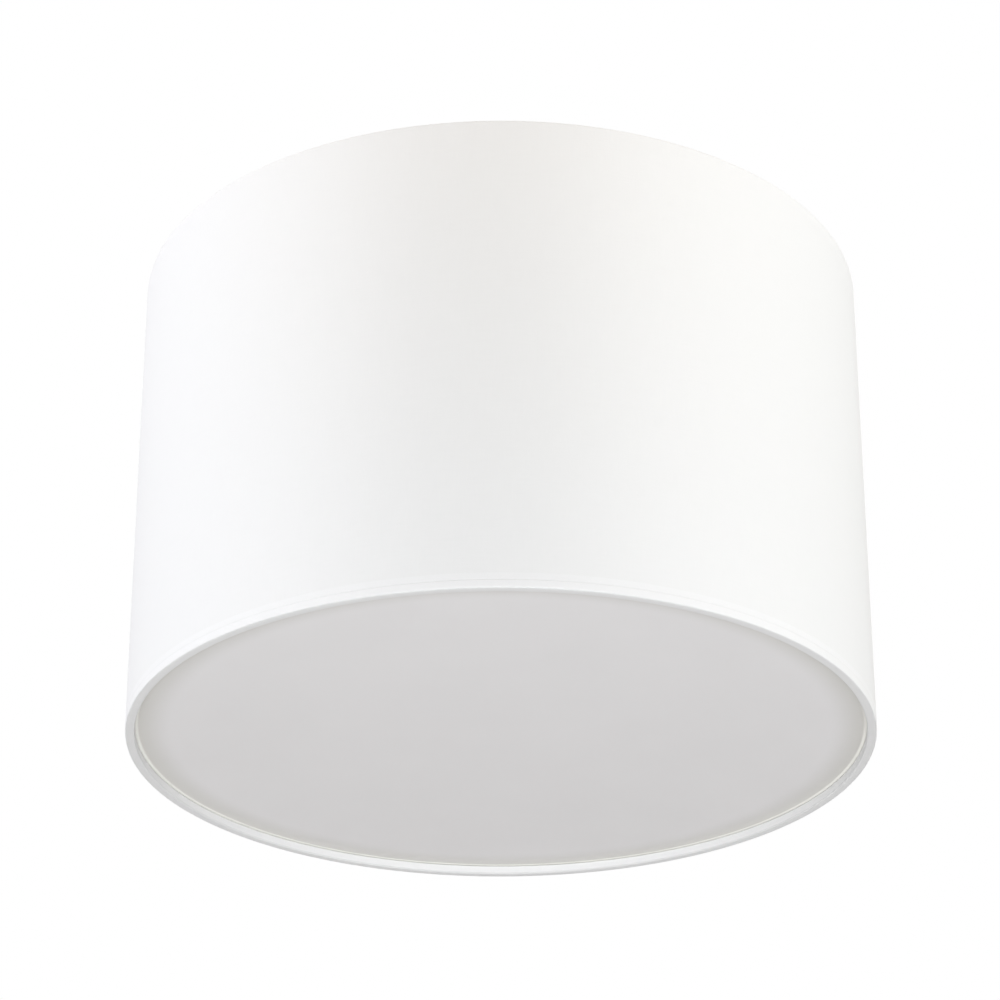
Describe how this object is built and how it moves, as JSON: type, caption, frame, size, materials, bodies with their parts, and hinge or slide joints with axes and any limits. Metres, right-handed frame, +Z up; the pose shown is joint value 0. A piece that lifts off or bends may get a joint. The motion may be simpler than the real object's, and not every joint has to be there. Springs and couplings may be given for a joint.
{
  "type": "flush mount ceiling light",
  "caption": "Drum flush mount ceiling light: white fabric shade with rolled hems on wire rings, opal bottom diffuser, hidden pan and screw lampholders.",
  "frame": {"origin": "middle of the ceiling contact plane, between the two ceiling screw slots", "axes": "+Z up into the ceiling, X along the crossbar, Y through the two lampholders"},
  "size_m": [0.3, 0.3, 0.204],
  "materials": {
    "zinc_steel": "bright zinc plate",
    "white_steel": "white powder coat",
    "nickel_brass": "nickel plate",
    "brass": "plain brass",
    "nickel_shell": "nickel-plated sheet",
    "clear_nylon": "milky nylon",
    "white_plastic": "glossy thermoplastic",
    "ceramic": "matt ceramic",
    "earth_insulation": "green and yellow insulation",
    "live_insulation": "brown insulation",
    "neutral_insulation": "blue insulation",
    "white_fabric": "fine plain weave",
    "lining": "matt film",
    "opal_acrylic": "satin opal",
    "tip_metal": "tinned",
    "black_glass": "glossy",
    "bulb_plastic": "satin",
    "opal_globe": "satin opal",
    "board": "white solder mask"
  },
  "bodies": {
    "base": {"crossbar": "zinc_steel", "ceiling_pan": "white_steel", "hanging_screws": "zinc_steel", "hanging_lock_nuts": "zinc_steel", "acorn_nuts": "nickel_brass", "shade_studs": "zinc_steel", "terminal_block": "clear_nylon", "terminal_tubes": "brass", "terminal_clamp_screws": "zinc_steel", "terminal_fixing_screw": "zinc_steel", "earth_screw": "zinc_steel", "earth_nut": "zinc_steel", "earth_washer": "zinc_steel", "earth_lug": "brass", "earth_wire": "earth_insulation", "live_wire_1": "live_insulation", "neutral_wire_1": "neutral_insulation", "nipple_1": "zinc_steel", "nipple_nut_1": "zinc_steel", "lampholder_cap_1": "white_plastic", "lampholder_skirt_1": "white_plastic", "lampholder_core_1": "ceramic", "screw_shell_1": "nickel_shell", "centre_contact_1": "brass", "live_wire_2": "live_insulation", "neutral_wire_2": "neutral_insulation", "nipple_2": "zinc_steel", "nipple_nut_2": "zinc_steel", "lampholder_cap_2": "white_plastic", "lampholder_skirt_2": "white_plastic", "lampholder_core_2": "ceramic", "screw_shell_2": "nickel_shell", "centre_contact_2": "brass"},
    "shade": {"top_wire_ring": "white_steel", "bottom_wire_ring": "white_steel", "keyhole_ring": "white_steel", "frame_spokes": "white_steel", "shade_lining": "lining", "shade_cover": "white_fabric"},
    "diffuser": {"diffuser": "opal_acrylic"},
    "thumb_washer_1": {"thumb_washer_1": "nickel_brass"},
    "thumb_nut_1": {"thumb_nut_1": "nickel_brass"},
    "thumb_washer_2": {"thumb_washer_2": "nickel_brass"},
    "thumb_nut_2": {"thumb_nut_2": "nickel_brass"},
    "thumb_washer_3": {"thumb_washer_3": "nickel_brass"},
    "thumb_nut_3": {"thumb_nut_3": "nickel_brass"},
    "bulb_tip_1": {"bulb_tip_1": "tip_metal"},
    "bulb_1": {"bulb_insulator_1": "black_glass", "bulb_cap_1": "nickel_shell", "bulb_housing_1": "bulb_plastic", "bulb_led_board_1": "board", "bulb_globe_1": "opal_globe"},
    "bulb_tip_2": {"bulb_tip_2": "tip_metal"},
    "bulb_2": {"bulb_insulator_2": "black_glass", "bulb_cap_2": "nickel_shell", "bulb_housing_2": "bulb_plastic", "bulb_led_board_2": "board", "bulb_globe_2": "opal_globe"}
  },
  "joints": [
    {"name": "shade_turn", "type": "hinge", "parent": "base", "child": "shade", "pos_m": [0, 0, -0.0256], "axis": [0, 0, 1], "range_deg": [0, 14]},
    {"name": "diffuser_lift", "type": "slide", "parent": "shade", "child": "diffuser", "axis": [0, 0, 1], "range_m": [0, 0.024]},
    {"name": "thumb_travel_1", "type": "slide", "parent": "base", "child": "thumb_washer_1", "axis": [0, 0, -1], "range_m": [0, 0.0021]},
    {"name": "thumb_turn_1", "type": "hinge", "parent": "thumb_washer_1", "child": "thumb_nut_1", "pos_m": [0.0435, 0.07534, -0.03], "axis": [0, 0, -1], "range_deg": [0, 1080]},
    {"name": "thumb_travel_2", "type": "slide", "parent": "base", "child": "thumb_washer_2", "axis": [0, 0, -1], "range_m": [0, 0.0021]},
    {"name": "thumb_turn_2", "type": "hinge", "parent": "thumb_washer_2", "child": "thumb_nut_2", "pos_m": [-0.087, 0, -0.03], "axis": [0, 0, -1], "range_deg": [0, 1080]},
    {"name": "thumb_travel_3", "type": "slide", "parent": "base", "child": "thumb_washer_3", "axis": [0, 0, -1], "range_m": [0, 0.0021]},
    {"name": "thumb_turn_3", "type": "hinge", "parent": "thumb_washer_3", "child": "thumb_nut_3", "pos_m": [0.0435, -0.07534, -0.03], "axis": [0, 0, -1], "range_deg": [0, 1080]},
    {"name": "bulb_travel_1", "type": "slide", "parent": "base", "child": "bulb_tip_1", "axis": [0, 0, -1], "range_m": [0, 0.01452]},
    {"name": "bulb_turn_1", "type": "hinge", "parent": "bulb_tip_1", "child": "bulb_1", "pos_m": [0, -0.045, -0.1], "axis": [0, 0, -1], "range_deg": [0, 1440]},
    {"name": "bulb_travel_2", "type": "slide", "parent": "base", "child": "bulb_tip_2", "axis": [0, 0, -1], "range_m": [0, 0.01452]},
    {"name": "bulb_turn_2", "type": "hinge", "parent": "bulb_tip_2", "child": "bulb_2", "pos_m": [0, 0.045, -0.1], "axis": [0, 0, -1], "range_deg": [0, 1440]}
  ],
  "couplings": [
    {"joint": "thumb_travel_1", "follows": "thumb_turn_1", "m_per_rad": 0.00011141},
    {"joint": "thumb_travel_2", "follows": "thumb_turn_2", "m_per_rad": 0.00011141},
    {"joint": "thumb_travel_3", "follows": "thumb_turn_3", "m_per_rad": 0.00011141},
    {"joint": "bulb_travel_1", "follows": "bulb_turn_1", "m_per_rad": 0.00057757},
    {"joint": "bulb_travel_2", "follows": "bulb_turn_2", "m_per_rad": 0.00057757}
  ]
}
